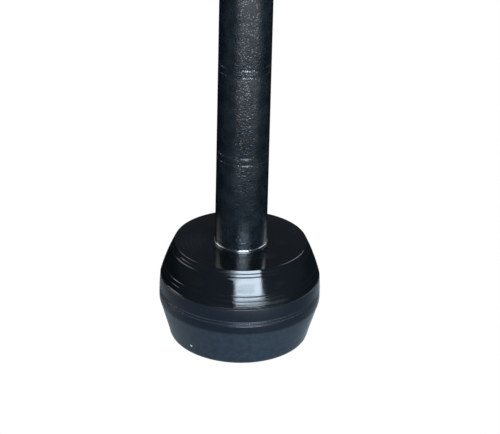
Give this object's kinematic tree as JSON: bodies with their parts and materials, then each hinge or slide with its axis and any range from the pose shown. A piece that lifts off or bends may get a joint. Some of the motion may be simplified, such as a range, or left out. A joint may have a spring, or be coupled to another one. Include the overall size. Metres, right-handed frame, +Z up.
{
  "type": "ladder stabilizer leg",
  "caption": "Round textured black leg with index grooves on a barrel-shaped screw foot, with a sliding clamp collar and a splaying ladder-rail bracket.",
  "frame": {"origin": "centre of the rubber sole, on the floor", "axes": "+Z up along the leg; +Y towards the ladder's side rail; +X across the bracket's ears"},
  "size_m": [0.12, 0.1023, 0.565],
  "materials": {
    "gloss_black": "gloss black enamel on a turned steel body",
    "powder_black": "fine textured black powder coat",
    "boot_rubber": "matte moulded rubber",
    "black_rubber": "matte rubber sheet",
    "zinc_steel": "bright zinc plated steel",
    "bright_steel": "bright turned steel",
    "brass": "machined brass",
    "cast_black": "textured black powder coat on cast aluminium",
    "nylon": "natural nylon",
    "black_plastic": "moulded black nylon",
    "cap_red": "glossy moulded cap"
  },
  "bodies": {
    "leg": {"leg_tube": "powder_black", "spindle_insert": "zinc_steel", "top_cap": "black_plastic"},
    "foot_washer": {"thrust_washer": "bright_steel"},
    "foot": {"foot_body": "gloss_black", "rubber_boot": "boot_rubber", "spindle": "zinc_steel", "spindle_washer": "zinc_steel", "spindle_nut": "zinc_steel", "stop_ring": "zinc_steel", "stop_pin": "bright_steel", "sole_plug": "boot_rubber", "sole_washers": "zinc_steel", "sole_screws": "zinc_steel"},
    "collar": {"slide_collar": "cast_black", "clamp_insert": "brass", "upper_bush": "nylon", "lower_bush": "nylon", "pivot_bolts": "zinc_steel", "pivot_washers": "zinc_steel", "pivot_spacers": "nylon", "splay_stud": "zinc_steel", "guide_bolt": "zinc_steel"},
    "pad": {"pressure_pad": "brass"},
    "clamp": {"clamp_screw": "zinc_steel", "clamp_knob": "black_plastic", "clamp_knob_cap": "cap_red"},
    "bracket": {"ear_right": "powder_black", "ear_left": "powder_black", "ear_welds": "powder_black", "rail_plate": "powder_black", "rail_pad": "black_rubber"},
    "lock_washer": {"lock_washer": "zinc_steel"},
    "splay_lock": {"splay_knob": "black_plastic", "splay_insert": "brass", "splay_knob_cap": "cap_red"}
  },
  "joints": [
    {"name": "collar_slide", "type": "slide", "parent": "leg", "child": "collar", "axis": [0, 0, 1], "range_m": [-0.22, 0.035]},
    {"name": "foot_screw_out", "type": "slide", "parent": "leg", "child": "foot_washer", "axis": [0, 0, -1], "range_m": [0, 0.024]},
    {"name": "foot_turn", "type": "hinge", "parent": "foot_washer", "child": "foot", "pos_m": [0, 0, 0.03], "axis": [0, 0, 1], "range_deg": [0, 4320]},
    {"name": "pad_press", "type": "slide", "parent": "collar", "child": "pad", "axis": [0, 1, 0], "range_m": [0, 0.0009]},
    {"name": "clamp_turn", "type": "hinge", "parent": "pad", "child": "clamp", "pos_m": [0, -0.04, 0.4732], "axis": [0, 1, 0], "range_deg": [0, 259.3]},
    {"name": "bracket_swing", "type": "hinge", "parent": "collar", "child": "bracket", "pos_m": [0, 0, 0.4912], "axis": [1, 0, 0], "range_deg": [0, 25]},
    {"name": "lock_washer_press", "type": "slide", "parent": "collar", "child": "lock_washer", "axis": [-1, 0, 0], "range_m": [0, 0.0008]},
    {"name": "splay_lock_turn", "type": "hinge", "parent": "lock_washer", "child": "splay_lock", "pos_m": [0.045, 0, 0.4602], "axis": [-1, 0, 0], "range_deg": [0, 230.5]}
  ],
  "couplings": [
    {"joint": "foot_turn", "follows": "foot_screw_out", "rad_per_m": 3141.6},
    {"joint": "clamp_turn", "follows": "pad_press", "rad_per_m": 5026.5},
    {"joint": "splay_lock_turn", "follows": "lock_washer_press", "rad_per_m": 5026.5}
  ]
}
